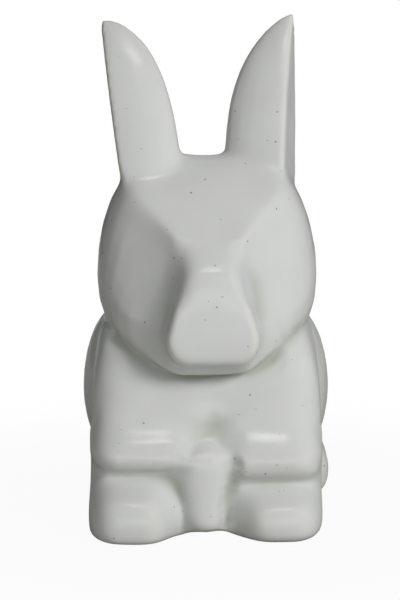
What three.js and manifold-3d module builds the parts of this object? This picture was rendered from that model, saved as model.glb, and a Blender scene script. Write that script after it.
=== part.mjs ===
// Glazed ceramic rabbit, crouching with its forepaws tucked under the chest and its ears up.
// It is a stick-up figure: separate castings and pressings, luted together with slip before firing.
// Millimetres, +Z up. The rabbit faces -Y and its left side is +X. The origin is on the table, under its middle.
import * as THREE from "three";
import { mergeVertices } from "three/addons/utils/BufferGeometryUtils.js";
import Module from "manifold-3d";

const wasm = await Module();
wasm.setup();

// Clay
const WALL = 5; // thickness of the hollow castings
const LUTE_GAP = 0.3; // line of slip between two pieces
const DRAIN_RADIUS = 6; // hole in the underside that lets slip and air out
const HOLE_LENGTH = 4 * WALL; // long enough to go through any wall

// Whole figure
const FIGURE_LENGTH = 112; // front of the paws to the back of the tail
const FRONT = -FIGURE_LENGTH / 2;
const REAR = FIGURE_LENGTH / 2;

// Torso
const BODY_WIDTH = 72; // across the shoulders and forelegs
const BODY_HALF = BODY_WIDTH / 2;
const BELLY_SPREAD = 1; // how much wider each flank is behind the shoulder
const BASE_TUCK = 2; // how far the flank turns in at the table
const CHEST_SETBACK = 17; // chest behind the front of the paws
const CHEST = FRONT + CHEST_SETBACK;
const CHEST_ROUND = 9; // radius from the chest to the flanks and the throat
const THROAT_HEIGHT = 53; // top of the chest, under the chin
const SHOULDER_HEIGHT = 67;
const NAPE_HEIGHT = 84;
const RUMP_HEIGHT = 73;
const RUMP_BULGE = 24; // how far the rump swells behind its widest slice
const RUMP_FULLNESS = 2.5; // 2 is round, more is squarer
const TAIL_PROUD = 8; // how far the tail stands out behind the rump
const RUMP = REAR - TAIL_PROUD - RUMP_BULGE;
const FLANK_HEIGHT = 24; // widest line of the body
const KEEL_HEIGHT = 31; // top of the domed keel between the forelegs
const KEEL_SPRING = 21; // where its dome starts
const KEEL_PROUD = 6; // keel in front of the chest
const KEEL_FULLNESS = 3; // how square it is, seen from above
const KEEL_FOOT = 2; // its lower edge above the table
const KEEL_WAIST = 12; // where it is slimmest
const KEEL_SLIMMING = 0.85; // its waist as a share of its full size

// Forelegs
const LEG_HEIGHT = 32; // top of the forearm, under the chest
const LEG_DEPTH = 26; // front of the paw to the joint with the torso
const LEG_SEAT = FRONT + LEG_DEPTH;
const KEEL_HALF = 6; // from the middle to a foreleg
const PAW_OUTER_ROUND = new THREE.Vector2(9, 13); // half-axes of the corner, seen from above
const PAW_INNER_ROUND = new THREE.Vector2(11, 17);
const PAW_TOE = 5; // the front of the paw is upright below this height
const PAW_TOP = 21.2; // where the round top of the paw would meet the chest
const FOREARM_BACK = 8; // forearm behind the front of the paw
const FOREARM_LIP = 4; // from the front of the forearm down to the crease over the paw
const LIP_FULLNESS = 3; // how square the lower edge of the forearm is
const SOLE_ROUND = 3;
const PAW_STAGGER = 1.8; // one paw behind the other

// Head, measured from the middle of the skull
const HEAD_WIDTH = 69.4; // across the jowls
const HEAD_HALF = HEAD_WIDTH / 2;
const HEAD_HEIGHT = 78; // middle of the skull above the table
const NOSE_SETBACK = 7; // nose behind the front of the paws
const NOSE_TO_SKULL = 34;
const SKULL_TO_NAPE = 32;
const CROWN_RISE = 38;
const JAW_DROP = 28.5;
const NOSE_TOP = 2.5;
const NOSE_DROP = 23.5;
const NOSE_TOP_WIDTH = 13;
const NOSE_BASE_WIDTH = 27;
const NOSE_ROUND = 1.6;
const BRIDGE_WIDTH = 17; // narrowest part of the flat forehead
const BROW_WIDTH = 46; // widest part of the flat forehead
const CROWN_WIDTH = 27;
const HEAD_TURN = THREE.MathUtils.degToRad(2.5); // the nose points a little to the rabbit's left
const HEAD_TILT = THREE.MathUtils.degToRad(0.8); // the ears lean a little to the rabbit's right
const HEAD_SHIFT = 0.4; // the head sits a little to the rabbit's left
const NECK_SLOPE = THREE.MathUtils.degToRad(30); // the neck joint climbs from the chin to the nape
const NECK_DROP = 17; // neck joint below the middle of the skull
const VENT_RADIUS = 8; // hole under the head that lets its air out through the torso

// Ears
const EAR_LENGTH = 55;
const EAR_WIDTH = 20.5;
const EAR_THICKNESS = 15;
const EAR_ROOT = 12; // how far the ear runs on before it is cut to the crown
const EAR_LATE_TAPER = 3; // the ear keeps its width for longer as this grows
const EAR_THINNING = 0.8; // the ear gets thinner towards its tip as this grows
const EAR_FULLNESS = 2.2; // roundness of the inner edge
const EAR_SPREAD = 26.6; // outer flank of the ear from the middle of the head
const EAR_RISE = 30; // root of the ear above the middle of the skull
const EAR_SETBACK = 1.5;
const EAR_LEAN = THREE.MathUtils.degToRad(20);

// Haunches, hind feet and tail
const HAUNCH_SPAN = 82; // across both haunches
const HAUNCH_LENGTH = 62;
const HAUNCH_RISE = 55;
const HAUNCH_THICKNESS = 29; // of the whole egg, most of which is cut away to fit the flank
const HAUNCH_HEIGHT = 37; // middle of the haunch above the table
const HAUNCH_AHEAD = 41; // middle of the haunch ahead of the back of the tail
const FOOT_LENGTH = 36;
const FOOT_WIDTH = 18;
const FOOT_HEIGHT = 16;
const TOES_AHEAD = 49; // toes of the hind foot ahead of the back of the tail
const FOOT_ROUND = 8;
const TAIL_WIDTH = 25;
const TAIL_DEPTH = 24;
const TAIL_HEIGHT = 20; // middle of the tail above the table

// What differs from side to side, because the pieces are finished by hand
const SIDES = [
  {
    name: "left",
    sign: 1,
    pawBack: PAW_STAGGER,
    pawTop: 0.88 * PAW_TOP,
    soleRound: SOLE_ROUND,
    forearmHeight: 0.71 * LEG_HEIGHT, // where the forearm stands out most
    footOut: 0.32 * FOOT_WIDTH, // how far the hind foot stands out beside the flank
    earLength: EAR_LENGTH,
    earWidth: 1.01 * EAR_WIDTH,
    earSpread: 0.995 * EAR_SPREAD,
    earSplay: THREE.MathUtils.degToRad(3.9), // lean to the outside
    earTwist: THREE.MathUtils.degToRad(10),
    earFlare: 0.2, // how far the flank of the ear leans out, as a share of its depth
    earTaper: 0.72, // how early the ear narrows to its tip
  },
  {
    name: "right",
    sign: -1,
    pawBack: 0,
    pawTop: PAW_TOP,
    soleRound: SOLE_ROUND / 2,
    forearmHeight: 0.805 * LEG_HEIGHT,
    footOut: 0.14 * FOOT_WIDTH,
    earLength: 0.985 * EAR_LENGTH,
    earWidth: 0.94 * EAR_WIDTH,
    earSpread: 0.983 * EAR_SPREAD,
    earSplay: THREE.MathUtils.degToRad(7.2),
    earTwist: THREE.MathUtils.degToRad(-6),
    earFlare: 0,
    earTaper: 0.55,
  },
];

// Fineness of the skins
const CURVE_STEPS = 7;
const FLAT_STEPS = 2;
const ROUND_STEPS = 4;
const DOME_STEPS = 7;
const BODY_STEPS = 15;
const CAVITY_STEPS = 6;
const HOLE_SEGMENTS = 32;

const glaze = new THREE.MeshStandardMaterial({ color: 0xd2d3cf, roughness: 0.25, metalness: 0 });

// Bodies and meshes
function toSolid(geometry) {
  const bare = geometry.clone();
  bare.deleteAttribute("normal");
  bare.deleteAttribute("uv");
  const merged = mergeVertices(bare, 1e-4);
  const vertProperties = new Float32Array(merged.attributes.position.array);
  const triVerts = new Uint32Array(merged.index.array);
  return new wasm.Manifold(new wasm.Mesh({ numProp: 3, vertProperties, triVerts }));
}

function toMesh(name, solid) {
  const { vertProperties, triVerts } = solid.getMesh();
  const geometry = new THREE.BufferGeometry();
  geometry.setAttribute("position", new THREE.BufferAttribute(vertProperties, 3));
  geometry.setIndex(new THREE.BufferAttribute(triVerts, 1));
  geometry.computeVertexNormals();
  const mesh = new THREE.Mesh(geometry, glaze.clone());
  mesh.name = name;
  return mesh;
}

// A closed skin over rings of equal point count, each end closed by a fan to the ring's middle.
function loft(rings) {
  const count = rings[0].length;
  const points = rings.flat();
  const index = [];
  for (let r = 0; r + 1 < rings.length; r += 1) {
    for (let i = 0; i < count; i += 1) {
      const a = r * count + i;
      const b = r * count + ((i + 1) % count);
      index.push(a, b, a + count, b, b + count, a + count);
    }
  }
  for (const [ring, flip] of [[0, true], [rings.length - 1, false]]) {
    const middle = new THREE.Vector3();
    rings[ring].forEach((point) => middle.addScaledVector(point, 1 / count));
    const hub = points.push(middle) - 1;
    for (let i = 0; i < count; i += 1) {
      const a = ring * count + i;
      const b = ring * count + ((i + 1) % count);
      index.push(...(flip ? [hub, b, a] : [hub, a, b]));
    }
  }
  const geometry = new THREE.BufferGeometry().setFromPoints(points);
  geometry.setIndex(facesOut(points, index) ? index : index.reverse());
  return geometry;
}

function facesOut(points, index) {
  let volume = 0;
  for (let i = 0; i < index.length; i += 3) {
    const [a, b, c] = [points[index[i]], points[index[i + 1]], points[index[i + 2]]];
    volume += a.dot(b.clone().cross(c));
  }
  return volume > 0;
}

// A quarter curve. Its fullness is 1 for a straight chamfer, 2 for an ellipse and more for a square shoulder.
function quarter(angle, fullness) {
  const power = 2 / fullness;
  return [Math.max(0, Math.cos(angle)) ** power, Math.max(0, Math.sin(angle)) ** power];
}

// One slice of a casting: flat crown, full flanks and flat foot, mirrored about the middle.
function sliceRing(slice, at, grow) {
  const crown = slice.crown + grow;
  const foot = slice.foot - grow;
  const girth = slice.girth + grow;
  const half = [];
  for (let i = 0; i < FLAT_STEPS; i += 1) {
    half.push([(slice.crownHalf * i) / FLAT_STEPS, crown]);
  }
  for (let i = 0; i <= CURVE_STEPS; i += 1) {
    const [out, up] = quarter((1 - i / CURVE_STEPS) * (Math.PI / 2), slice.upper);
    half.push([
      THREE.MathUtils.lerp(slice.crownHalf, girth, out),
      THREE.MathUtils.lerp(slice.girthAt, crown, up),
    ]);
  }
  for (let i = 1; i <= CURVE_STEPS; i += 1) {
    const [out, down] = quarter((i / CURVE_STEPS) * (Math.PI / 2), slice.lower);
    half.push([
      THREE.MathUtils.lerp(slice.footHalf, girth, out),
      THREE.MathUtils.lerp(slice.girthAt, foot, down),
    ]);
  }
  for (let i = 1; i <= FLAT_STEPS; i += 1) {
    half.push([slice.footHalf * (1 - i / FLAT_STEPS), foot]);
  }
  const mirrored = half.slice(1, -1).reverse().map(([x, z]) => [-x, z]);
  return [...half, ...mirrored].map(([x, z]) => new THREE.Vector3(x, at, z));
}

const SLICE_SIZES = ["crown", "crownHalf", "girth", "girthAt", "foot", "footHalf", "upper", "lower"];
const FULLNESS = ["upper", "lower"];

// A casting is a skin over slices along Y. Its front is a flat face with a rounded edge and its back is a dome.
function casting({ stations, round, dome, domeFullness, standing }, grow = 0, steps = BODY_STEPS) {
  const start = stations[0].at;
  const end = stations[stations.length - 1].at;
  const places = stations.map((station) => station.at);
  const sizes = stations.flatMap((station) => SLICE_SIZES.map((size) => station[size]));
  const guide = new THREE.CubicInterpolant(places, sizes, SLICE_SIZES.length);
  const sliceAt = (at) => {
    const values = guide.evaluate(at);
    return Object.fromEntries(SLICE_SIZES.map((size, i) => [size, values[i]]));
  };
  const rings = [];
  for (let i = 0; i < ROUND_STEPS; i += 1) {
    const angle = (i / ROUND_STEPS) * (Math.PI / 2);
    const inset = round * (1 - Math.sin(angle));
    const slice = sliceAt(start + round * (1 - Math.cos(angle)));
    slice.crown -= inset;
    slice.crownHalf = Math.max(0, slice.crownHalf - inset);
    slice.girth -= inset;
    slice.footHalf = Math.max(0, slice.footHalf - inset);
    slice.foot += standing ? 0 : inset;
    rings.push(sliceRing(slice, start + round * (1 - Math.cos(angle)) - grow * Math.cos(angle), grow));
  }
  for (let i = 0; i <= steps; i += 1) {
    const at = THREE.MathUtils.lerp(start + round, end, i / steps);
    rings.push(sliceRing(sliceAt(at), at, grow));
  }
  for (let i = 1; i < DOME_STEPS; i += 1) {
    const [shrink, out] = quarter((i / DOME_STEPS) * (Math.PI / 2), domeFullness);
    const slice = sliceAt(end);
    for (const size of SLICE_SIZES.filter((name) => !FULLNESS.includes(name))) {
      slice[size] *= shrink;
    }
    rings.push(sliceRing(slice, end + (dome + grow) * out, grow * shrink));
  }
  return loft(rings);
}

// A block with its near corner and its far corner at the given points
function block(from, to) {
  const size = to.clone().sub(from);
  const box = new THREE.BoxGeometry(size.x, size.y, size.z);
  return box.translate((from.x + to.x) / 2, (from.y + to.y) / 2, (from.z + to.z) / 2);
}

// Torso
const torsoSlice = { foot: 0, footHalf: BODY_HALF - BASE_TUCK, girthAt: FLANK_HEIGHT };
const alongTorso = (share) => THREE.MathUtils.lerp(CHEST, RUMP, share);
const TORSO = {
  round: CHEST_ROUND,
  dome: RUMP_BULGE,
  domeFullness: RUMP_FULLNESS,
  standing: true,
  stations: [
    {
      ...torsoSlice,
      at: CHEST,
      crown: THROAT_HEIGHT,
      crownHalf: 0.55 * BODY_HALF,
      girth: BODY_HALF,
      upper: 4,
      lower: 5,
    },
    {
      ...torsoSlice,
      at: alongTorso(0.28),
      crown: SHOULDER_HEIGHT,
      crownHalf: 0.5 * BODY_HALF,
      girth: BODY_HALF,
      upper: 3.6,
      lower: 5,
    },
    {
      ...torsoSlice,
      at: alongTorso(0.62),
      crown: NAPE_HEIGHT,
      crownHalf: 0.25 * BODY_HALF,
      girth: BODY_HALF + BELLY_SPREAD,
      upper: 2.4,
      lower: 4.5,
    },
    {
      ...torsoSlice,
      at: RUMP,
      crown: RUMP_HEIGHT,
      crownHalf: 0.1 * BODY_HALF,
      girth: BODY_HALF + BELLY_SPREAD,
      upper: 2.1,
      lower: 4,
    },
  ],
};

// Head
const noseHalf = NOSE_BASE_WIDTH / 2;
const foreheadAt = (behindNose) => NOSE_TOP + ((CROWN_RISE - NOSE_TOP) * behindNose) / NOSE_TO_SKULL;
const HEAD = {
  round: NOSE_ROUND,
  dome: SKULL_TO_NAPE / 2,
  domeFullness: 2,
  standing: false,
  stations: [
    {
      at: -NOSE_TO_SKULL,
      crown: NOSE_TOP,
      crownHalf: NOSE_TOP_WIDTH / 2,
      girth: noseHalf,
      girthAt: -0.7 * NOSE_DROP,
      foot: -NOSE_DROP,
      footHalf: 0.5 * noseHalf,
      upper: 1.25,
      lower: 2.1,
    },
    {
      at: -0.76 * NOSE_TO_SKULL,
      crown: foreheadAt(0.24 * NOSE_TO_SKULL),
      crownHalf: BRIDGE_WIDTH / 2,
      girth: 1.2 * noseHalf,
      girthAt: -0.6 * NOSE_DROP,
      foot: -0.93 * JAW_DROP,
      footHalf: 0.7 * noseHalf,
      upper: 0.85,
      lower: 2,
    },
    {
      at: -0.55 * NOSE_TO_SKULL,
      crown: foreheadAt(0.45 * NOSE_TO_SKULL),
      crownHalf: THREE.MathUtils.lerp(BRIDGE_WIDTH, BROW_WIDTH, 0.45) / 2,
      girth: THREE.MathUtils.lerp(noseHalf, HEAD_HALF, 0.6),
      girthAt: -0.35 * JAW_DROP,
      foot: -JAW_DROP,
      footHalf: 0.7 * noseHalf,
      upper: 0.9,
      lower: 2,
    },
    {
      at: -0.25 * NOSE_TO_SKULL,
      crown: foreheadAt(0.75 * NOSE_TO_SKULL),
      crownHalf: BROW_WIDTH / 2,
      girth: 0.95 * HEAD_HALF,
      girthAt: -0.1 * JAW_DROP,
      foot: -JAW_DROP,
      footHalf: 0.7 * noseHalf,
      upper: 1.6,
      lower: 2.1,
    },
    {
      at: 0.08 * NOSE_TO_SKULL,
      crown: CROWN_RISE,
      crownHalf: CROWN_WIDTH / 2,
      girth: HEAD_HALF,
      girthAt: 0,
      foot: -JAW_DROP,
      footHalf: 0.7 * noseHalf,
      upper: 2,
      lower: 2.2,
    },
    {
      at: SKULL_TO_NAPE / 2,
      crown: 0.93 * CROWN_RISE,
      crownHalf: 0.7 * (CROWN_WIDTH / 2),
      girth: 0.95 * HEAD_HALF,
      girthAt: 0,
      foot: -JAW_DROP,
      footHalf: 0.6 * noseHalf,
      upper: 2,
      lower: 2.2,
    },
  ],
};

const headGroup = new THREE.Group();
headGroup.position.set(HEAD_SHIFT, FRONT + NOSE_SETBACK + NOSE_TO_SKULL, HEAD_HEIGHT);
headGroup.rotation.set(0, -HEAD_TILT, HEAD_TURN);
headGroup.updateMatrix();

// The head is cut off at a slanting plane and stands on it. This block fills the space above that plane.
const NECK_REACH = 2 * FIGURE_LENGTH;
function aboveNeck(offset) {
  const slab = new THREE.BoxGeometry(NECK_REACH, NECK_REACH, NECK_REACH);
  slab.translate(0, 0, NECK_REACH / 2 + offset);
  return slab.rotateX(NECK_SLOPE).translate(0, 0, -NECK_DROP);
}

function makeHead() {
  const skin = toSolid(casting(HEAD));
  const hollow = toSolid(casting(HEAD, -WALL, CAVITY_STEPS));
  return skin.intersect(toSolid(aboveNeck(0))).subtract(hollow);
}

// The space that the head takes out of the torso, grown by the given margin
function headSeat(margin) {
  const head = toSolid(casting(HEAD, margin).applyMatrix4(headGroup.matrix));
  return head.intersect(toSolid(aboveNeck(-margin).applyMatrix4(headGroup.matrix)));
}

// An ear is half a leaf: a straight thick flank outside, a thin rounded edge inside, a blunt tip.
const EAR_RINGS = 16;
const EAR_EDGE_STEPS = 12;
function earBlank({ sign, earLength, earWidth, earTaper, earFlare }) {
  const rings = [];
  const ringAt = (height, rise) => {
    const width = earWidth * (1 - rise ** EAR_LATE_TAPER) ** earTaper;
    const half = (EAR_THICKNESS / 2) * (1 - rise ** 2) ** EAR_THINNING;
    const ring = [];
    for (let i = 0; i <= EAR_EDGE_STEPS; i += 1) {
      const angle = (i / EAR_EDGE_STEPS - 0.5) * Math.PI;
      const [inward, deep] = quarter(Math.abs(angle), EAR_FULLNESS);
      const back = Math.sign(angle) * half * deep;
      ring.push(new THREE.Vector3(sign * (earFlare * back - width * inward), back, height));
    }
    return ring;
  };
  rings.push(ringAt(-EAR_ROOT, 0));
  for (let i = 0; i < EAR_RINGS; i += 1) {
    const rise = Math.sin((i / EAR_RINGS) * (Math.PI / 2));
    rings.push(ringAt(rise * earLength, rise));
  }
  return loft(rings);
}

function makeEar(side) {
  const { sign, earSpread, earSplay, earTwist } = side;
  const ear = earBlank(side);
  ear.rotateZ(-sign * earTwist);
  ear.rotateX(-EAR_LEAN);
  ear.rotateY(sign * earSplay);
  ear.translate(sign * earSpread, EAR_SETBACK, EAR_RISE);
  return toSolid(ear).subtract(toSolid(casting(HEAD, LUTE_GAP)));
}

// Forelegs
const LEG_RINGS = 36;
const LEG_NECK = LEG_DEPTH - CHEST_SETBACK; // reach where the rounds of the leg run out into the chest
const LEG_KEEL = LEG_NECK + KEEL_PROUD; // reach where the inner corner of the leg meets the keel
function legRing(sign, height, reach, inset) {
  const outer = BODY_HALF - inset;
  const inner = KEEL_HALF + inset;
  const front = LEG_SEAT - reach + inset;
  const outerDepth = Math.min(PAW_OUTER_ROUND.y, reach - inset);
  const innerDepth = Math.min(PAW_INNER_ROUND.y, Math.max(0, reach - inset - LEG_KEEL));
  const ring = [[outer, LEG_SEAT]];
  for (let i = 0; i <= CURVE_STEPS; i += 1) {
    const [out, forward] = quarter((i / CURVE_STEPS) * (Math.PI / 2), 2);
    ring.push([outer - PAW_OUTER_ROUND.x * (1 - out), front + outerDepth * (1 - forward)]);
  }
  for (let i = 0; i <= CURVE_STEPS; i += 1) {
    const [out, forward] = quarter((1 - i / CURVE_STEPS) * (Math.PI / 2), 2);
    ring.push([inner + PAW_INNER_ROUND.x * (1 - out), front + innerDepth * (1 - forward)]);
  }
  ring.push([inner, LEG_SEAT]);
  return ring.map(([x, y]) => new THREE.Vector3(sign * x, y, height));
}

// How far a round of the given reach and height stands out, at a distance above or below its front
function roundReach(reach, high, away, fullness) {
  const share = Math.min(away / high, 1);
  return LEG_NECK + (reach - LEG_NECK) * (1 - share ** fullness) ** (1 / fullness);
}

function makeForeleg({ sign, pawBack, pawTop, soleRound, forearmHeight }) {
  const pawReach = LEG_DEPTH - pawBack;
  const forearmReach = LEG_DEPTH - FOREARM_BACK;
  const crown = LEG_HEIGHT - forearmHeight;
  const rings = [];
  for (let i = 0; i < ROUND_STEPS; i += 1) {
    const [out, up] = quarter((1 - i / ROUND_STEPS) * (Math.PI / 2), 2);
    rings.push(legRing(sign, soleRound * (1 - up), pawReach, soleRound * (1 - out)));
  }
  for (let i = 0; i <= LEG_RINGS; i += 1) {
    const height = THREE.MathUtils.lerp(soleRound, LEG_HEIGHT, i / LEG_RINGS);
    const rise = height - forearmHeight;
    const paw = roundReach(pawReach, pawTop - PAW_TOE, Math.max(0, height - PAW_TOE), 2);
    const over = roundReach(forearmReach, crown, Math.max(0, rise), 2);
    const under = roundReach(forearmReach, FOREARM_LIP, Math.max(0, -rise), LIP_FULLNESS);
    rings.push(legRing(sign, height, Math.max(paw, Math.min(over, under)), 0));
  }
  return toSolid(loft(rings));
}

// The chest is cut away where a foreleg is stuck on.
function legRecess(sign) {
  const inner = sign * (KEEL_HALF - LUTE_GAP);
  const outer = sign * BODY_WIDTH;
  const from = new THREE.Vector3(Math.min(inner, outer), FRONT - LEG_DEPTH, -LEG_HEIGHT);
  const to = new THREE.Vector3(Math.max(inner, outer), LEG_SEAT + LUTE_GAP, LEG_HEIGHT + LUTE_GAP);
  return block(from, to);
}

// Between the forelegs the chest ends in a keel with a domed top, a waist and a foot that flares out.
function keelRing(height, swell) {
  const half = KEEL_HALF * swell;
  const ring = [];
  for (let i = 0; i <= 2 * CURVE_STEPS; i += 1) {
    const across = i / CURVE_STEPS - 1;
    const [forward, out] = quarter(Math.abs(across) * (Math.PI / 2), KEEL_FULLNESS);
    ring.push([Math.sign(across) * half * out, CHEST - KEEL_PROUD * swell * forward]);
  }
  ring.push([half, CHEST + WALL / 2], [-half, CHEST + WALL / 2]);
  return ring.map(([x, y]) => new THREE.Vector3(x, y, height));
}

function makeKeel() {
  const rings = [keelRing(KEEL_FOOT, 1), keelRing(2 * KEEL_FOOT, 1), keelRing(KEEL_WAIST, KEEL_SLIMMING)];
  for (let i = 0; i < DOME_STEPS; i += 1) {
    const [swell, rise] = quarter((i / DOME_STEPS) * (Math.PI / 2), 2);
    rings.push(keelRing(THREE.MathUtils.lerp(KEEL_SPRING, KEEL_HEIGHT, rise), swell));
  }
  return loft(rings);
}

function makeHole(radius) {
  const hole = new THREE.CylinderGeometry(radius, radius, HOLE_LENGTH, HOLE_SEGMENTS);
  return hole.rotateX(Math.PI / 2);
}

function makeTorso() {
  let torso = toSolid(casting(TORSO)).add(toSolid(makeKeel()));
  for (const { sign } of SIDES) {
    torso = torso.subtract(toSolid(legRecess(sign)));
  }
  const chestWall = block(
    new THREE.Vector3(-BODY_WIDTH, FRONT - LEG_DEPTH, -LEG_HEIGHT),
    new THREE.Vector3(BODY_WIDTH, LEG_SEAT + LUTE_GAP + WALL, LEG_HEIGHT + LUTE_GAP + WALL),
  );
  const inside = toSolid(casting(TORSO, -WALL, CAVITY_STEPS));
  const hollow = inside.subtract(toSolid(chestWall)).subtract(headSeat(LUTE_GAP + WALL));
  const drain = makeHole(DRAIN_RADIUS);
  const vent = makeHole(VENT_RADIUS);
  vent.rotateX(NECK_SLOPE).translate(0, 0, -NECK_DROP).applyMatrix4(headGroup.matrix);
  return torso.subtract(headSeat(LUTE_GAP)).subtract(hollow).subtract(toSolid(drain)).subtract(toSolid(vent));
}

// Hind feet
function footShape() {
  const half = FOOT_WIDTH / 2;
  const station = {
    crown: FOOT_HEIGHT,
    crownHalf: half / 3,
    girth: half,
    girthAt: 0.45 * FOOT_HEIGHT,
    foot: 0,
    footHalf: half - 2 * BASE_TUCK,
    upper: 2.2,
    lower: 2.4,
  };
  const toe = REAR - TOES_AHEAD;
  const stations = [
    { ...station, at: toe, crown: 0.85 * FOOT_HEIGHT },
    { ...station, at: toe + FOOT_LENGTH / 2 },
    { ...station, at: toe + FOOT_LENGTH - FOOT_ROUND },
  ];
  return { stations, round: FOOT_ROUND, dome: FOOT_ROUND, domeFullness: 2, standing: true };
}

function footBlank({ sign, footOut }, grow) {
  const foot = casting(footShape(), grow, CAVITY_STEPS);
  return toSolid(foot.translate(sign * (BODY_HALF + footOut - FOOT_WIDTH / 2), 0, 0));
}

function makeHindFoot(side) {
  return footBlank(side, 0).subtract(toSolid(casting(TORSO, LUTE_GAP)));
}

// Haunches and tail are eggs, cut to fit the torso.
const EGG_SEGMENTS = 32;
function egg(width, length, height) {
  const ball = new THREE.SphereGeometry(1, EGG_SEGMENTS, EGG_SEGMENTS / 2);
  return ball.scale(width / 2, length / 2, height / 2);
}

function makeHaunch(side) {
  const reach = (HAUNCH_SPAN - HAUNCH_THICKNESS) / 2;
  const haunch = egg(HAUNCH_THICKNESS, HAUNCH_LENGTH, HAUNCH_RISE);
  haunch.translate(side.sign * reach, REAR - HAUNCH_AHEAD, HAUNCH_HEIGHT);
  return toSolid(haunch).subtract(toSolid(casting(TORSO, LUTE_GAP))).subtract(footBlank(side, LUTE_GAP));
}

function makeTail() {
  const tail = egg(TAIL_WIDTH, TAIL_DEPTH, TAIL_WIDTH);
  tail.translate(0, REAR - TAIL_DEPTH / 2, TAIL_HEIGHT);
  return toSolid(tail).subtract(toSolid(casting(TORSO, LUTE_GAP)));
}

// The figure
const rabbit = new THREE.Group();
rabbit.add(toMesh("torso", makeTorso()), toMesh("tail", makeTail()), headGroup);
headGroup.add(toMesh("head", makeHead()));
for (const side of SIDES) {
  headGroup.add(toMesh(`${side.name}_ear`, makeEar(side)));
  rabbit.add(
    toMesh(`${side.name}_foreleg`, makeForeleg(side)),
    toMesh(`${side.name}_haunch`, makeHaunch(side)),
    toMesh(`${side.name}_hind_foot`, makeHindFoot(side)),
  );
}

export default rabbit;
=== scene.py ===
# %% [markdown]
# # A glazed rabbit
#
# The real object is a small ceramic ornament. Its maker cast or pressed eleven pieces of soft clay, stuck
# them together with slip, wiped the joints with a wet sponge, dipped the figure in white glaze and fired
# it. The CAD model has those eleven pieces with crisp edges and a hairline between them. This lesson
# follows the maker: it joins the pieces, fills the joints, works the surface by thumb, and glazes the
# result.

# %% Load the frame
import math

import bpy
import numpy as np
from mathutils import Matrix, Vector


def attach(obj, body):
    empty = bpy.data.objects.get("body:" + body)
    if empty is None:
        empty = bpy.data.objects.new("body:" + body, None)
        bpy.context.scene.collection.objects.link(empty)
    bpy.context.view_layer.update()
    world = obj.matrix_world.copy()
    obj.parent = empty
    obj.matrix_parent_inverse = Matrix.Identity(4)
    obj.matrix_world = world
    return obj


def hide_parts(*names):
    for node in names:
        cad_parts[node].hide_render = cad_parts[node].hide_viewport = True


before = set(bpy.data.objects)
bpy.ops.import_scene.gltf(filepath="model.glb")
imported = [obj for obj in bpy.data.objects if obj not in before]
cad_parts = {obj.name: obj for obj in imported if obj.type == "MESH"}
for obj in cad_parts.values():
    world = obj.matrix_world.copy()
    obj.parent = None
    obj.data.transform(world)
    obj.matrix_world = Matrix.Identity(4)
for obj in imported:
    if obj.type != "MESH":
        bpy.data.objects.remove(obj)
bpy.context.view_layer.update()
MM = 0.001  # in metres
print("CAD pieces:", sorted(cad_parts))

# %% [markdown]
# ## The camera
#
# The photograph was taken half a metre away with a long lens, from almost as high as the ear tips,
# looking slightly down. The tilt and the distance were worked out from where the ears, the paws and the
# hind foot are in the picture. A camera could also be aimed with a Track To constraint, but a plain place
# and turn is easier to read and to correct.

# %% Place the camera
CAMERA_PLACE = Vector((-1.9, -561, 148)) * MM
CAMERA_TILT = math.radians(8.2)  # downwards
SENSOR_HEIGHT = 36  # of a full-frame camera held upright, in mm
LENS = 103.9

bpy.ops.object.select_all(action="DESELECT")
bpy.ops.object.camera_add(location=CAMERA_PLACE, rotation=(math.radians(90) - CAMERA_TILT, 0, 0))
camera = bpy.context.object
camera.data.sensor_fit = "VERTICAL"
camera.data.sensor_height = SENSOR_HEIGHT
camera.data.lens = LENS
bpy.context.scene.camera = camera
print("Camera at", [round(x, 4) for x in camera.location])

# %% [markdown]
# ## Sticking the pieces together
#
# A Boolean union would join the pieces too, but it keeps every hairline as a sharp groove. Wet clay
# closes up, so each piece is copied, swollen until it touches its neighbours, and all the copies are
# remeshed into one skin of small even squares. A plug closes the drain hole in the underside, so the
# hollow inside comes out as a shell of its own, and only the outer skin is kept.

# %% Copy the pieces
SLIP_GAP = 0.3 * MM  # hairline between two CAD pieces
SWELL = 0.7 * SLIP_GAP  # a little more than half the gap, so that neighbours overlap
MERGE_DISTANCE = 0.001 * MM


def pick(piece):
    """Makes one object the selected and active one."""
    bpy.ops.object.select_all(action="DESELECT")
    piece.select_set(True)
    bpy.context.view_layer.objects.active = piece


def shape_with(piece, kind, **settings):
    """Adds a modifier to a piece, sets it and applies it."""
    pick(piece)
    modifier = piece.modifiers.new(kind.lower(), kind)
    for name, value in settings.items():
        setattr(modifier, name, value)
    bpy.ops.object.modifier_apply(modifier=modifier.name)


def clay_copy(node):
    """Copies a CAD node and merges its loose triangles."""
    piece = bpy.data.objects.new("clay_" + node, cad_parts[node].data.copy())
    bpy.context.scene.collection.objects.link(piece)
    pick(piece)
    bpy.ops.object.mode_set(mode="EDIT")
    bpy.ops.mesh.select_all(action="SELECT")
    bpy.ops.mesh.remove_doubles(threshold=MERGE_DISTANCE)
    bpy.ops.object.mode_set(mode="OBJECT")
    return piece


copies = [clay_copy(node) for node in sorted(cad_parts)]
for piece in copies:
    shape_with(piece, "DISPLACE", mid_level=0, strength=SWELL)
print(len(copies), "pieces copied and swollen by", round(SWELL / MM, 2), "mm")

# %% Join the copies
SKIN_SQUARE = 0.6 * MM
PLUG_RADIUS = 8 * MM
PLUG_DEPTH = 4 * MM

bpy.ops.object.select_all(action="DESELECT")
bpy.ops.mesh.primitive_cylinder_add(radius=PLUG_RADIUS, depth=PLUG_DEPTH, location=(0, 0, PLUG_DEPTH / 2))
clay = bpy.context.object
for piece in copies:
    piece.select_set(True)
bpy.ops.object.join()
clay.name = "clay"
bpy.ops.object.transform_apply(location=True, rotation=True, scale=True)
shape_with(clay, "REMESH", mode="VOXEL", voxel_size=SKIN_SQUARE)
print("Remeshed into", len(clay.data.polygons), "squares")

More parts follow.
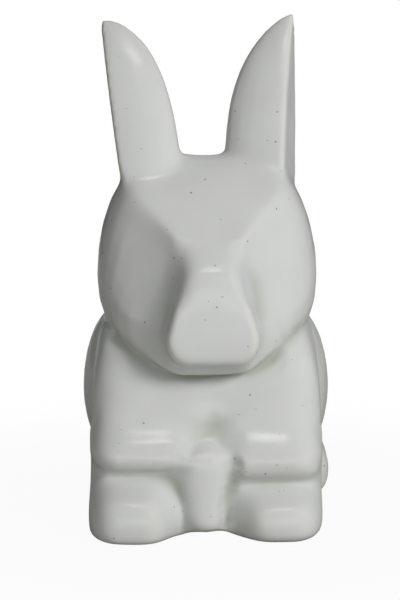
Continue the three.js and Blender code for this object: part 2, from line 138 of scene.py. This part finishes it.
# %% Keep the outer skin
pick(clay)
bpy.ops.object.mode_set(mode="EDIT")
bpy.ops.mesh.select_all(action="SELECT")
bpy.ops.mesh.separate(type="LOOSE")
bpy.ops.object.mode_set(mode="OBJECT")
shells = sorted(bpy.context.selected_objects, key=lambda piece: len(piece.data.polygons))
clay = shells.pop()
for shell in shells:
    bpy.data.objects.remove(shell)
print("One skin of", len(clay.data.polygons), "squares")

# %% [markdown]
# ## Sponging the joints
#
# A wet sponge takes the edge off every corner, and the slip that it pushes along stays in the creases. A
# Smooth modifier alone would wear down the ear tips as fast as it fills the joints. So a light Smooth
# rounds everything, and a longer one, held to a place by a vertex group, softens the rims of the ears and
# the edges of the brow. Then a second kind of pass moves hollow points far more than bulging ones: the
# creases fill and the corners stay. The furrow under the jaw and the step under the forearms get less
# slip and stay crisper.

# %% Round the corners
SPONGE_SHARE = 0.5  # how far a point goes to the middle of its neighbours in one pass
CORNER_PASSES = 5
LONG_PASSES = 30  # for the places that the maker sponged longer


def places(piece):
    """The places of all points, one row each, in metres."""
    flat = np.empty(3 * len(piece.data.vertices), np.float32)
    piece.data.vertices.foreach_get("co", flat)
    return flat.reshape(-1, 3).astype(float)


def in_mm(piece):
    """The x, y and z of all points in mm. The rabbit faces -y, and its left side is +x."""
    return places(piece).T / MM


def ramp(value, start, end):
    """Goes smoothly from 0 at start to 1 at end."""
    share = np.clip((value - start) / (end - start), 0, 1)
    return share * share * (3 - 2 * share)


def sponge(piece, name, weight, passes):
    """Smooths a piece where the weight, a share for each point, is above 0."""
    group = piece.vertex_groups.new(name=name)
    for index in np.flatnonzero(weight > 0):
        group.add([int(index)], float(weight[index]), "REPLACE")
    shape_with(piece, "SMOOTH", factor=SPONGE_SHARE, iterations=passes, vertex_group=name)
    print(name, "sponged at", int(np.sum(weight > 0)), "points")


shape_with(clay, "SMOOTH", factor=SPONGE_SHARE, iterations=CORNER_PASSES)
x, y, z = in_mm(clay)
sponge(clay, "right_ear_rim", ramp(z, 98, 106) * ramp(x, -19, -22), LONG_PASSES)
sponge(clay, "left_ear_rim", ramp(z, 98, 106) * ramp(z, 153, 147) * ramp(x, 18, 21), LONG_PASSES)
brow = ramp(z, 88, 96) * ramp(z, 113, 108) * ramp(np.abs(x), 9, 15) * ramp(y, -8, -14)
sponge(clay, "brow_edges", brow, 2 * LONG_PASSES)

# %% Look at each point's neighbours
def put_places(piece, place):
    """Puts all points at the given places."""
    piece.data.vertices.foreach_set("co", place.astype(np.float32).ravel())
    piece.data.update()


def outwards(piece):
    """The outward direction at all points."""
    flat = np.empty(3 * len(piece.data.vertices), np.float32)
    piece.data.vertex_normals.foreach_get("vector", flat)
    return flat.reshape(-1, 3).astype(float)


def towards_neighbours(piece):
    """Returns a function that gives each point's way to the middle of its neighbours."""
    flat = np.empty(2 * len(piece.data.edges), np.int32)
    piece.data.edges.foreach_get("vertices", flat)
    near, far = flat.reshape(-1, 2).T
    count = len(piece.data.vertices)
    degree = np.bincount(flat, minlength=count)[:, None]

    def way(place):
        sums = [
            np.bincount(near, place[far, axis], count) + np.bincount(far, place[near, axis], count)
            for axis in range(place.shape[1])
        ]
        return np.stack(sums, axis=1) / degree - place

    return way


steps = np.linalg.norm(towards_neighbours(clay)(places(clay)), axis=1) / MM
print(f"A point is up to {steps.max():.2f} mm from the middle of its neighbours")

# %% Fill the creases
CREASE_PASSES = 40
HOLLOW_SHARE = 0.5  # how far a hollow point goes to the middle of its neighbours in one pass
BULGE_SHARE = 0.05
PASSES_PER_LOOK = 5  # the outward directions are worked out again after so many passes
JAW_CRISPNESS = 0.85  # the share of the slip that is held back there
FOREARM_CRISPNESS = 0.6


def fill_creases(piece, passes, slip):
    """Fills hollow creases with slip. The slip is a share for each point, and 0 leaves a crease as it is."""
    way = towards_neighbours(piece)
    place = places(piece)
    for turn in range(passes):
        if turn % PASSES_PER_LOOK == 0:
            put_places(piece, place)
            out = outwards(piece)
        move = way(place)
        hollow = np.sum(move * out, axis=1) > 0
        share = np.where(hollow, HOLLOW_SHARE * slip, BULGE_SHARE)
        place = place + move * share[:, None]
    put_places(piece, place)


def size_of(piece):
    """The size of a piece's box, in mm."""
    return [round(size / MM, 1) for size in piece.dimensions]


x, y, z = in_mm(clay)
under_jaw = ramp(z, 44, 48) * ramp(z, 74, 68) * ramp(y, 16, 6)
under_forearms = ramp(z, 15, 17) * ramp(z, 27, 25) * ramp(y, -36, -38) * ramp(np.abs(x), 8, 12)
fill_creases(clay, CREASE_PASSES, 1 - JAW_CRISPNESS * under_jaw - FOREARM_CRISPNESS * under_forearms)
x, y, z = in_mm(clay)
sponge(clay, "nose_ridge", ramp(z, 70, 76) * ramp(z, 94, 88) * ramp(y, -38, -41), 8 * LONG_PASSES)
print("Joints filled; the clay spans", size_of(clay), "mm")

# %% [markdown]
# ## Working by thumb and tool
#
# In the photograph the jaw is one smooth arc over a deep furrow, with a narrow chin under the nose. The
# chest flows softly into the forearms, hollows part the forearms from the paws, and between the paws
# stands a keel with a domed top, to which a fold runs down. The maker pressed these into the wet clay. In
# Blender the same is done by moving a few points with proportional editing, which takes the clay round
# them along. A sculpt brush would be the obvious way, but it needs a window and a hand, and it can't be
# repeated exactly.

# %% Draw the furrow under the jaw
STROKE_STEP = 1.0 * MM


def stroke(*corners):
    """Points along a line of straight runs, given in mm."""
    ends = [Vector(corner) * MM for corner in corners]
    points = []
    for a, b in zip(ends, ends[1:]):
        steps = max(1, round((b - a).length / STROKE_STEP))
        points += [a.lerp(b, step / steps) for step in range(steps)]
    return points + [ends[-1]]


def press(piece, points, push, reach):
    """Moves the skin nearest to the points by the push, and the skin within reach follows; all in mm."""
    place = places(piece)
    chosen = np.zeros(len(place), bool)
    for point in points:
        chosen[np.argmin(np.sum((place - np.array(point)) ** 2, axis=1))] = True
    pick(piece)
    piece.data.polygons.foreach_set("select", np.zeros(len(piece.data.polygons), bool))
    piece.data.edges.foreach_set("select", np.zeros(len(piece.data.edges), bool))
    piece.data.vertices.foreach_set("select", chosen)
    bpy.ops.object.mode_set(mode="EDIT")
    bpy.ops.transform.translate(
        value=Vector(push) * MM,
        use_proportional_edit=True,
        proportional_edit_falloff="SMOOTH",
        proportional_size=reach * MM,
    )
    bpy.ops.object.mode_set(mode="OBJECT")


jaw_left = [(29, -29, 60.5), (24, -33.8, 56.8), (20, -35.9, 53.8), (16, -37.3, 51.6), (12, -37.9, 50.4)]
jaw_right = [(-12, -37.8, 50.7), (-16, -37, 52.3), (-20, -35.3, 54.7), (-24, -32.4, 58.2), (-29, -27.5, 61.5)]
jaw_line = stroke(*jaw_left, (0, -38, 49.9), *jaw_right)
press(clay, jaw_line, push=(0, 0.8, 0), reach=15)
press(clay, jaw_line, push=(0, 0.9, 0.4), reach=5)
print("Furrow drawn through", len(jaw_line), "points")

# %% Part the forearms from the paws
# A roll on the chest above each forearm, and under it the hollow over the paw: first right, then left
press(clay, stroke((-33, -38, 32), (-11, -39, 32)), push=(0, -2.6, 0), reach=7.5)
press(clay, stroke((-38, -40, 16), (-34, -48, 16), (-11, -49, 16)), push=(0, 5.5, 0), reach=7)
press(clay, stroke((12, -39, 31.5), (33, -38, 31.5)), push=(0, -2.4, 0), reach=7.5)
press(clay, stroke((9.5, -48, 13.5), (34, -46, 13.5), (38, -39, 13.5)), push=(0, 5, 0), reach=7)
# The inner ends of both paws go back, beside the keel
press(clay, stroke((-8.5, -51, 1), (-8.5, -51, 11)), push=(0.5, 6.5, 0), reach=10)
press(clay, stroke((8, -50, 1), (8, -50, 9)), push=(-0.5, 6, 0), reach=10)
print("Forearms parted from the paws; the clay spans", size_of(clay), "mm")

# %% Raise the keel
KEEL_FLARE = ((14, 0.9), (9, 1.4), (4, 1.8))  # heights, and how far the keel comes forward there

press(clay, stroke((-2.8, -42, 26), (-2.4, -42, 4)), push=(0, -3.6, 0), reach=6)
press(clay, stroke((3.2, -42, 26), (2.4, -42, 4)), push=(0, -3.6, 0), reach=6)
press(clay, stroke((-5.5, -44, 24), (-5, -45, 6)), push=(0, -1.2, 0), reach=4.5)
press(clay, stroke((0.3, -45, 25), (0, -46, 6)), push=(0, -1.2, 0), reach=5)
for height, push in KEEL_FLARE:
    press(clay, stroke((-2.5, -46, height), (2.5, -46, height)), push=(0, -push, 0), reach=7)
print("Keel raised; the clay spans", size_of(clay), "mm")

# %% Soften the forearms and paws
# The lower edges of the forearms come down before the sponge goes over them
press(clay, stroke((-36, -45, 24), (-11, -47, 24)), push=(0, -0.5, -1.6), reach=7)
press(clay, stroke((11, -47, 21.5), (36, -44, 21.5)), push=(0, -0.5, -1.2), reach=7)
x, y, z = in_mm(clay)
sponge(clay, "above_forearms", ramp(z, 25, 30) * ramp(z, 50, 44) * ramp(y, -33, -37), 12 * LONG_PASSES)
sponge(clay, "paws", ramp(z, 27, 22) * ramp(y, -26, -34), 5 * LONG_PASSES)

# %% Press the folds round the keel
press(clay, stroke((2.5, -42, 35), (7.5, -44, 28)), push=(0, 0.9, 0), reach=6)
press(clay, stroke((-6.5, -46, 27), (0, -44, 31), (6.5, -46, 27)), push=(0, 0.8, 0), reach=3.5)
press(clay, stroke((7.6, -46, 23), (6.8, -47, 5)), push=(0, 2.2, 0), reach=4.5)
print("A fold, the line over the dome and a groove pressed; the clay spans", size_of(clay), "mm")

# %% Round the jaw and the chin
# The right side of the jaw and the chin come down, and the left cheek is scooped beside the nose
press(clay, stroke((-28, -30, 61), (-20, -35.5, 56), (-12, -40, 53)), push=(0, -0.4, -2.4), reach=7)
press(clay, stroke((-6, -42, 52), (12, -41, 52.5), (20, -36, 55)), push=(0, 0, -1.8), reach=6.5)
press(clay, stroke((15.5, -38, 76), (17.5, -37, 66)), push=(0, 1.2, 0), reach=8)
# The furrow is drawn again under the lowered jaw
lowered_right = [(-28, -29, 59.5), (-20, -33, 54), (-12, -35, 49.5)]
lowered_left = [(12, -35, 49.3), (20, -33.5, 53.5)]
press(clay, stroke(*lowered_right, (0, -35, 48.3), *lowered_left), push=(0, 2.2, 0.3), reach=5.5)
# The crown dips between the ears
press(clay, [Vector((0, -8, 118)) * MM], push=(0, 0, -1.3), reach=16)
print("Jaw rounded; the clay spans", size_of(clay), "mm")

# %% Sponge the last marks away
x, y, z = in_mm(clay)
keel_top = ramp(np.abs(x), 11, 8) * ramp(z, 22, 25) * ramp(z, 40, 36) * ramp(y, -33, -37)
sponge(clay, "keel_top", keel_top, LONG_PASSES)
furrow_height = 50 + 0.0131 * x * x  # it rises to both sides
collar = ramp(z, 36, 40) * ramp(z - furrow_height, 0, -3) * ramp(y, -14, -20)
sponge(clay, "collar", collar, 4 * LONG_PASSES)

# %% [markdown]
# ## The hand-made surface
#
# No wall of a sponged figure is quite flat. A Displace modifier with a soft cloud texture gives the skin
# waves of a few tenths of a millimetre, and they bend the reflections as in the photograph. A bump map
# would fake the shine but leave the outlines ruler-straight.

# %% Let the surface wander
WAVE_WIDTH = 13 * MM
WAVE_HEIGHT = 0.35 * MM

waves = bpy.data.textures.new("sponge_waves", "CLOUDS")
waves.noise_scale = WAVE_WIDTH
waves.noise_depth = 1
shape_with(clay, "DISPLACE", texture=waves, texture_coords="LOCAL", mid_level=0.5, strength=WAVE_HEIGHT)
print("Waves of", WAVE_HEIGHT / MM, "mm; the clay spans", size_of(clay), "mm")

# %% [markdown]
# ## Wiping the foot
#
# The potter wipes the glaze off the underside, so that the figure doesn't stick to the kiln shelf. The
# swelling pushed the skin a little below the table. Bisect cuts it off level and closes the cut with one
# flat face. Then a cylinder is taken out for the drain hole, which goes up into the dark.

# %% Cut the foot and the drain hole
DRAIN_RADIUS = 6 * MM
DRAIN_DEPTH = 30 * MM
DRAIN_SIDES = 64
CUT_TOLERANCE = 0.001 * MM

pick(clay)
bpy.ops.object.mode_set(mode="EDIT")
bpy.ops.mesh.select_all(action="SELECT")
bpy.ops.mesh.bisect(
    plane_co=(0, 0, 0),
    plane_no=(0, 0, 1),
    use_fill=True,
    clear_inner=True,
    threshold=CUT_TOLERANCE,
)
bpy.ops.object.mode_set(mode="OBJECT")
bpy.ops.object.select_all(action="DESELECT")
bpy.ops.mesh.primitive_cylinder_add(vertices=DRAIN_SIDES, radius=DRAIN_RADIUS, depth=2 * DRAIN_DEPTH)
drain = bpy.context.object
shape_with(clay, "BOOLEAN", operation="DIFFERENCE", solver="MANIFOLD", object=drain)
bpy.data.objects.remove(drain)
print("Foot level at", round(places(clay)[:, 2].min() / MM, 3), "mm")

# %% [markdown]
# ## Where the glaze runs, and where shade is painted
#
# Molten glaze leaves the edges and gathers in the creases. The material needs to know which is which, so
# a colour attribute is stored on the skin: red grows in hollows, where glaze pools, and green on edges,
# where it thins. The red is spread wide and its colour is darker than pooled glaze alone, so in the
# creases it is also painted shade, as under the jaw and the forearms. Blender's Pointiness would give
# something similar, but it follows single corners of the mesh, and the exported model couldn't use it.

# %% Measure the hollows and edges
POOL_AND_SHADE_SPREAD = 90  # passes of blurring
EDGE_SPREAD = 25
POOL_AND_SHADE_RANGE = (0.001, 0.015)  # how hollow the skin is where the pool and its painted shade start, and where they are full
EDGE_RANGE = (0.008, 0.03)
MARKED = 0.5


def spread(way, value, passes):
    """Blurs a value over the skin."""
    value = value[:, None]
    for _ in range(passes):
        value = value + SPONGE_SHARE * way(value)
    return value[:, 0]


way = towards_neighbours(clay)
hollow = np.sum(way(places(clay)) * outwards(clay), axis=1) / MM
glaze_depth_and_shade = np.zeros((len(hollow), 4), np.float32)
# Red: hollows, for pooled glaze and for painted shade. Green: edges, where the glaze thins.
glaze_depth_and_shade[:, 0] = ramp(spread(way, hollow, POOL_AND_SHADE_SPREAD), *POOL_AND_SHADE_RANGE)
glaze_depth_and_shade[:, 1] = ramp(-spread(way, hollow, EDGE_SPREAD), *EDGE_RANGE)
attribute = clay.data.color_attributes.new("glaze_depth_and_shade", "FLOAT_COLOR", "POINT")
attribute.data.foreach_set("color", glaze_depth_and_shade.ravel())
pooled_and_shaded_share, thinned_share = np.mean(glaze_depth_and_shade[:, :2] > MARKED, axis=0)
print(f"Glaze pools on {pooled_and_shaded_share:.1%} and thins on {thinned_share:.1%} of the skin")

# %% [markdown]
# ## Dividing the skin
#
# Each piece of the figure is kept as an object by its own name. The smooth skin is cut along the old
# joints: the convex hull of a CAD piece, a little swollen, is the cell that takes its share, and what is
# left over is the torso. The cuts are inside the clay. To keep them invisible, each piece takes over the
# normals of the uncut skin.

# %% Divide the skin
CELL_MARGIN = 1.5 * MM
CUT_ORDER = ["left_ear", "right_ear", "tail", "left_hind_foot", "right_hind_foot"]
CUT_ORDER += ["left_haunch", "right_haunch", "left_foreleg", "right_foreleg", "head"]


def copy_of(piece, name):
    """A second object with its own mesh."""
    twin = bpy.data.objects.new(name, piece.data.copy())
    bpy.context.scene.collection.objects.link(twin)
    return twin


def cell_round(node):
    """The swollen convex hull of a CAD node."""
    cell = clay_copy(node)
    bpy.ops.object.mode_set(mode="EDIT")
    bpy.ops.mesh.select_all(action="SELECT")
    bpy.ops.mesh.convex_hull()
    bpy.ops.object.mode_set(mode="OBJECT")
    shape_with(cell, "DISPLACE", mid_level=0, strength=CELL_MARGIN)
    return cell


pick(clay)
bpy.ops.object.shade_smooth()
skin = copy_of(clay, "skin")
pieces = {}
for node in CUT_ORDER:
    cell = cell_round(node)
    pieces[node] = copy_of(clay, "glazed_" + node)
    shape_with(pieces[node], "BOOLEAN", operation="INTERSECT", solver="MANIFOLD", object=cell)
    shape_with(clay, "BOOLEAN", operation="DIFFERENCE", solver="MANIFOLD", object=cell)
    bpy.data.objects.remove(cell)
clay.name = "glazed_torso"
pieces["torso"] = clay
for node, piece in pieces.items():
    print(node, "has", len(piece.data.polygons), "faces")

# %% Hide the cuts
SKIN_REACH = 0.02 * MM  # only the outer skin takes over normals, glaze depth and painted shade; not the cut faces inside
CUT_EDGE = math.radians(30)  # a sharper edge than this stays an edge

for piece in pieces.values():
    pick(piece)
    bpy.ops.object.shade_smooth_by_angle(angle=CUT_EDGE)
    shape_with(
        piece,
        "DATA_TRANSFER",
        object=skin,
        use_loop_data=True,
        data_types_loops={"CUSTOM_NORMAL"},
        loop_mapping="POLYINTERP_NEAREST",
        use_vert_data=True,
        data_types_verts={"COLOR_VERTEX"},
        vert_mapping="POLYINTERP_NEAREST",
        use_max_distance=True,
        max_distance=SKIN_REACH,
    )
bpy.data.objects.remove(skin)
print("Normals and glaze depth taken over by", len(pieces), "pieces")

# %% [markdown]
# ## The glaze
#
# White tin glaze is a coat of glass, clouded white, a few tenths of a millimetre deep. The eye sees a
# soft gloss, a colour that is a little greyer in the creases, where the glaze pools and where painted
# shade darkens it further, and pinholes where a bubble burst in the kiln and dust settled. A painted
# image could hold the pinholes, but points scattered through space by a Voronoi texture need no
# unwrapping and run on from piece to piece.

# %% Mix the glaze
RGBA = {"data_type": "RGBA"}  # setting of a Mix node that mixes colours, and its sockets
SHARE, FIRST, SECOND, MIXED = 0, 6, 7, 2
CLOUD_SIZE = 22 * MM  # patches of thicker and thinner glaze


def linear(hex_colour):
    """Turns an sRGB hex colour into the linear one that Blender's nodes use."""
    channels = [int(hex_colour[i : i + 2], 16) / 255 for i in (1, 3, 5)]
    return [c / 12.92 if c <= 0.04045 else ((c + 0.055) / 1.055) ** 2.4 for c in channels] + [1]


def add_node(tree, kind, settings=(), inputs=(), links=()):
    """Adds a node, with its own settings, its input values and links from other nodes to its inputs."""
    node = tree.nodes.new("ShaderNode" + kind)
    for name, value in dict(settings).items():
        setattr(node, name, value)
    for name, value in dict(inputs).items():
        node.inputs[name].default_value = value
    for name, output in dict(links).items():
        tree.links.new(output, node.inputs[name])
    return node


glaze = bpy.data.materials.new("white_tin_glaze")
glaze.use_nodes = True
tree = glaze.node_tree
shader = tree.nodes["Principled BSDF"]
spot = add_node(tree, "TexCoord").outputs["Object"]
cloud = add_node(tree, "TexNoise", inputs={"Scale": 1 / CLOUD_SIZE, "Detail": 3}, links={"Vector": spot})
body = add_node(
    tree,
    "Mix",
    settings=RGBA,
    inputs={FIRST: linear("#CDCECC"), SECOND: linear("#D7D8D6")},
    links={SHARE: cloud.outputs["Fac"]},
)
depth = add_node(tree, "Attribute", settings={"attribute_name": "glaze_depth_and_shade"})
depth_and_shade_channels = add_node(tree, "SeparateColor", links={0: depth.outputs["Color"]})
# Painted shade: the hollows are mixed towards a dark grey-green, darker than pooled glaze alone would be
pooled_and_shaded = add_node(
    tree,
    "Mix",
    settings=RGBA,
    inputs={SECOND: linear("#ABAFA2")},
    links={SHARE: depth_and_shade_channels.outputs["Red"], FIRST: body.outputs[MIXED]},
)
thin = add_node(
    tree,
    "Mix",
    settings=RGBA,
    inputs={SECOND: linear("#DAD9D4")},
    links={SHARE: depth_and_shade_channels.outputs["Green"], FIRST: pooled_and_shaded.outputs[MIXED]},
)
print("Glaze mixed in clouds of", CLOUD_SIZE / MM, "mm")

# %% Prick the pinholes
SOFT_STEP = {"interpolation_type": "SMOOTHSTEP"}
BUBBLE_SPACING = 4.6 * MM  # through space; only bubbles that touch the skin show as pinholes
PINHOLE_RADIUS = 0.42 * MM
SMALLEST, LARGEST = 0.45, 1.25  # times that radius
DASH_SPACING = 7 * MM
DASH_STRETCH = (0.4, 1, 2)  # makes a dash long across the figure and low
DASH_RADIUS = 0.05  # as a share of the spacing
DASH_DARKNESS = 0.7

bubbles = add_node(tree, "TexVoronoi", inputs={"Scale": 1 / BUBBLE_SPACING}, links={"Vector": spot})
sizes = add_node(tree, "SeparateColor", links={0: bubbles.outputs["Color"]})
pinhole = PINHOLE_RADIUS / BUBBLE_SPACING
reach = add_node(
    tree,
    "MapRange",
    inputs={"To Min": SMALLEST * pinhole, "To Max": LARGEST * pinhole},
    links={"Value": sizes.outputs["Red"]},
)
pinholes = add_node(
    tree,
    "MapRange",
    settings=SOFT_STEP,
    inputs={"To Min": 1, "To Max": 0, "From Min": 0},
    links={"Value": bubbles.outputs["Distance"], "From Max": reach.outputs[0]},
)
stretched = add_node(tree, "Mapping", inputs={"Scale": DASH_STRETCH}, links={"Vector": spot}).outputs[0]
drags = add_node(tree, "TexVoronoi", inputs={"Scale": 1 / DASH_SPACING}, links={"Vector": stretched})
dashes = add_node(
    tree,
    "MapRange",
    settings=SOFT_STEP,
    inputs={"From Max": DASH_RADIUS, "To Min": DASH_DARKNESS, "To Max": 0},
    links={"Value": drags.outputs["Distance"]},
)
marks = add_node(
    tree,
    "Math",
    settings={"operation": "MAXIMUM"},
    links={0: pinholes.outputs[0], 1: dashes.outputs[0]},
)
specked = add_node(
    tree,
    "Mix",
    settings=RGBA,
    inputs={SECOND: linear("#5C5850")},
    links={SHARE: marks.outputs[0], FIRST: thin.outputs[MIXED]},
)
tree.links.new(specked.outputs[MIXED], shader.inputs["Base Color"])
mean_radius = (SMALLEST + LARGEST) / 2 * PINHOLE_RADIUS
print(f"About {2 * mean_radius / BUBBLE_SPACING**3 / 1e4:.1f} pinholes on a square centimetre of glaze")

# %% Give the glaze its shine
PEEL_SIZE = 2.2 * MM  # the faint orange-peel of a fired glaze
PEEL_DEPTH = 0.02 * MM
PIT_DEPTH = 0.2 * MM
GLOSSIEST, DULLEST = 0.18, 0.24  # roughness
GLASS_IOR = 1.5

peel = add_node(tree, "TexNoise", inputs={"Scale": 1 / PEEL_SIZE, "Detail": 2}, links={"Vector": spot})
peeled = add_node(
    tree,
    "Bump",
    inputs={"Strength": 0.35, "Distance": PEEL_DEPTH},
    links={"Height": peel.outputs["Fac"]},
)
pits = add_node(
    tree,
    "Bump",
    settings={"invert": True},
    inputs={"Strength": 0.6, "Distance": PIT_DEPTH},
    links={"Height": marks.outputs[0], "Normal": peeled.outputs[0]},
)
tree.links.new(pits.outputs[0], shader.inputs["Normal"])
gloss = add_node(
    tree,
    "MapRange",
    inputs={"From Min": 0.3, "From Max": 0.7, "To Min": GLOSSIEST, "To Max": DULLEST},
    links={"Value": cloud.outputs["Fac"]},
)
tree.links.new(gloss.outputs[0], shader.inputs["Roughness"])
shader.inputs["IOR"].default_value = GLASS_IOR
print("Roughness from", GLOSSIEST, "to", DULLEST)

# %% [markdown]
# ## The bare foot
#
# Where the glaze was wiped off, the fired clay shows: biscuit, a chalky buff body that doesn't shine at
# all. The glaze could be mixed into biscuit by height inside one material. A second material on the faces
# that lie on the table is simpler, and its edge is as sharp as a wiped one.

# %% Mix the biscuit
GRIT_SIZE = 0.8 * MM
GRIT_DEPTH = 0.1 * MM
CHALKY = 0.9  # roughness

biscuit = bpy.data.materials.new("wiped_biscuit")
biscuit.use_nodes = True
tree = biscuit.node_tree
shader = tree.nodes["Principled BSDF"]
spot = add_node(tree, "TexCoord").outputs["Object"]
grit = add_node(tree, "TexNoise", inputs={"Scale": 1 / GRIT_SIZE, "Detail": 4}, links={"Vector": spot})
clay_colour = add_node(
    tree,
    "Mix",
    settings=RGBA,
    inputs={FIRST: linear("#B9AA92"), SECOND: linear("#DDD2BF")},
    links={SHARE: grit.outputs["Fac"]},
)
tree.links.new(clay_colour.outputs[MIXED], shader.inputs["Base Color"])
rough = add_node(
    tree,
    "Bump",
    inputs={"Strength": 0.5, "Distance": GRIT_DEPTH},
    links={"Height": grit.outputs["Fac"]},
)
tree.links.new(rough.outputs[0], shader.inputs["Normal"])
shader.inputs["Roughness"].default_value = CHALKY
print("Biscuit grit of", GRIT_SIZE / MM, "mm")

# %% Glaze the pieces
WIPED_HEIGHT = 0.02 * MM  # a face lower than this that faces down is wiped
FACING_DOWN = -0.9

for node, piece in pieces.items():
    piece.data.materials.clear()
    piece.data.materials.append(glaze)
    middles = np.empty(3 * len(piece.data.polygons), np.float32)
    piece.data.polygons.foreach_get("center", middles)
    ways = np.empty(3 * len(piece.data.polygons), np.float32)
    piece.data.polygons.foreach_get("normal", ways)
    wiped = (middles[2::3] < WIPED_HEIGHT) & (ways[2::3] < FACING_DOWN)
    piece.data.polygons.foreach_set("material_index", wiped.astype(np.int32))
    if wiped.any():
        piece.data.materials.append(biscuit)
    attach(piece, "root")
    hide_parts(node)
print("Glazed", len(pieces), "pieces")

# %% [markdown]
# ## The light
#
# The photograph is lit softly: most light comes from the front right, less from the front left, and a
# little from behind. The shine shows something else: short lights of a window above on the ears, the
# nose, the forearms and the paws, and a broad dim one of a pale table top. Lamps that did both would put
# large white boxes on the glaze. So four soft boxes light the clay and are left out of the reflections,
# and two small ones are seen in them.

# %% Light the figure
AIM = Vector((0, 0, 80)) * MM  # the middle of the figure


def soft_light(name, azimuth, elevation, distance, width, height, power):
    """A soft box that faces the figure. Azimuth 0 is in front, and it grows to the right of the picture."""
    turn = math.radians(azimuth)
    lift = math.radians(elevation)
    way = Vector((math.sin(turn) * math.cos(lift), -math.cos(turn) * math.cos(lift), math.sin(lift)))
    place = AIM + way * distance
    bpy.ops.object.light_add(type="AREA", location=place, rotation=way.to_track_quat("Z", "Y").to_euler())
    lamp = bpy.context.object
    lamp.name = name
    lamp.data.shape = "RECTANGLE"
    lamp.data.size = width
    lamp.data.size_y = height
    lamp.data.energy = power
    return lamp


key = soft_light("key", azimuth=47, elevation=24, distance=1.2, width=0.4, height=0.4, power=9.7)
fill = soft_light("fill", azimuth=-25, elevation=14, distance=1.2, width=0.8, height=0.8, power=2.7)
back = soft_light("back", azimuth=180, elevation=25, distance=1.2, width=0.8, height=0.8, power=8)
side = soft_light("side", azimuth=-160, elevation=20, distance=1.2, width=0.8, height=0.8, power=2.5)
for lamp in (key, fill, back, side):
    lamp.visible_glossy = False
window = soft_light("window", azimuth=7, elevation=65, distance=1.0, width=0.25, height=0.1, power=0.7)
table = soft_light("table", azimuth=5, elevation=-1.5, distance=0.6, width=0.6, height=0.12, power=0.46)
for lamp in (key, fill, back, side, window, table):
    print(lamp.name, "lamp of", round(lamp.data.energy, 2), "W at", [round(x, 2) for x in lamp.location])

# %% [markdown]
# ## The room
#
# The photograph has a plain white ground. The camera sees the world as white, and the light that reaches
# the figure from all round is that of a dim room, darker and greener on the left of the picture. A white
# backdrop would light the figure and mirror in it. Glossy rays don't see the white either: the real glaze
# mirrors the dim room, and nothing here is metal or glass.

# %% Paint the room
ROOM_STRENGTH = 0.25
DARK_END, PALE_END = -0.9, 0.7  # from left to right

world = bpy.data.worlds.new("room")
bpy.context.scene.world = world
world.use_nodes = True
tree = world.node_tree
tree.nodes.clear()
rays = add_node(tree, "LightPath")
ways = add_node(tree, "TexCoord")
sides = add_node(tree, "SeparateXYZ", links={0: ways.outputs["Generated"]})
walls = add_node(
    tree,
    "MapRange",
    settings=SOFT_STEP,
    inputs={"From Min": DARK_END, "From Max": PALE_END},
    links={"Value": sides.outputs["X"]},
)
wall = add_node(
    tree,
    "Mix",
    settings=RGBA,
    inputs={FIRST: linear("#363D2C"), SECOND: linear("#7C7E7A")},
    links={SHARE: walls.outputs[0]},
)
room = add_node(tree, "Background", inputs={"Strength": ROOM_STRENGTH}, links={"Color": wall.outputs[MIXED]})
white = add_node(tree, "Background", inputs={"Color": linear("#FFFFFF"), "Strength": 1})
mix = add_node(
    tree,
    "MixShader",
    links={0: rays.outputs["Is Camera Ray"], 1: room.outputs[0], 2: white.outputs[0]},
)
add_node(tree, "OutputWorld", links={"Surface": mix.outputs[0]})
bpy.context.scene.view_settings.view_transform = "Standard"
print("Room painted; colours are shown as", bpy.context.scene.view_settings.view_transform)

# %% [markdown]
# ## The floor
#
# The figure stands on matt paper, grey enough to throw little light back up at it. The photograph shows
# it as white with next to no shadow, so for the camera most of the paper glows white, and the little that
# is left of it close to the figure keeps a faint shadow.

# %% Lay the floor
FLOOR_SIZE = 6  # metres
SHADOW_END = 200 * MM  # from there on the floor is all white
FADE_START = 60 * MM
WHITE_NEAR = 0.95  # share of white close to the figure

bpy.ops.object.select_all(action="DESELECT")
bpy.ops.mesh.primitive_plane_add(size=FLOOR_SIZE, location=(0, 0, 0))
floor = bpy.context.object
floor.name = "floor"
paper = bpy.data.materials.new("white_paper")
paper.use_nodes = True
floor.data.materials.append(paper)
tree = paper.node_tree
tree.nodes.clear()
rays = add_node(tree, "LightPath")
ways = add_node(tree, "TexCoord")
away = add_node(tree, "VectorMath", settings={"operation": "LENGTH"}, links={0: ways.outputs["Object"]})
fade = add_node(
    tree,
    "MapRange",
    settings=SOFT_STEP,
    inputs={"From Min": FADE_START, "From Max": SHADOW_END, "To Min": WHITE_NEAR},
    links={"Value": away.outputs["Value"]},
)
share = add_node(
    tree,
    "Math",
    settings={"operation": "MULTIPLY"},
    links={0: rays.outputs["Is Camera Ray"], 1: fade.outputs[0]},
)
matt = add_node(tree, "BsdfDiffuse", inputs={"Color": linear("#94968E")})
glow = add_node(tree, "Emission", inputs={"Color": linear("#FFFFFF"), "Strength": 1})
mix = add_node(tree, "MixShader", links={0: share.outputs[0], 1: matt.outputs[0], 2: glow.outputs[0]})
add_node(tree, "OutputMaterial", links={"Surface": mix.outputs[0]})
print("Floor of", FLOOR_SIZE, "m, all white from", round(SHADOW_END / MM), "mm on")
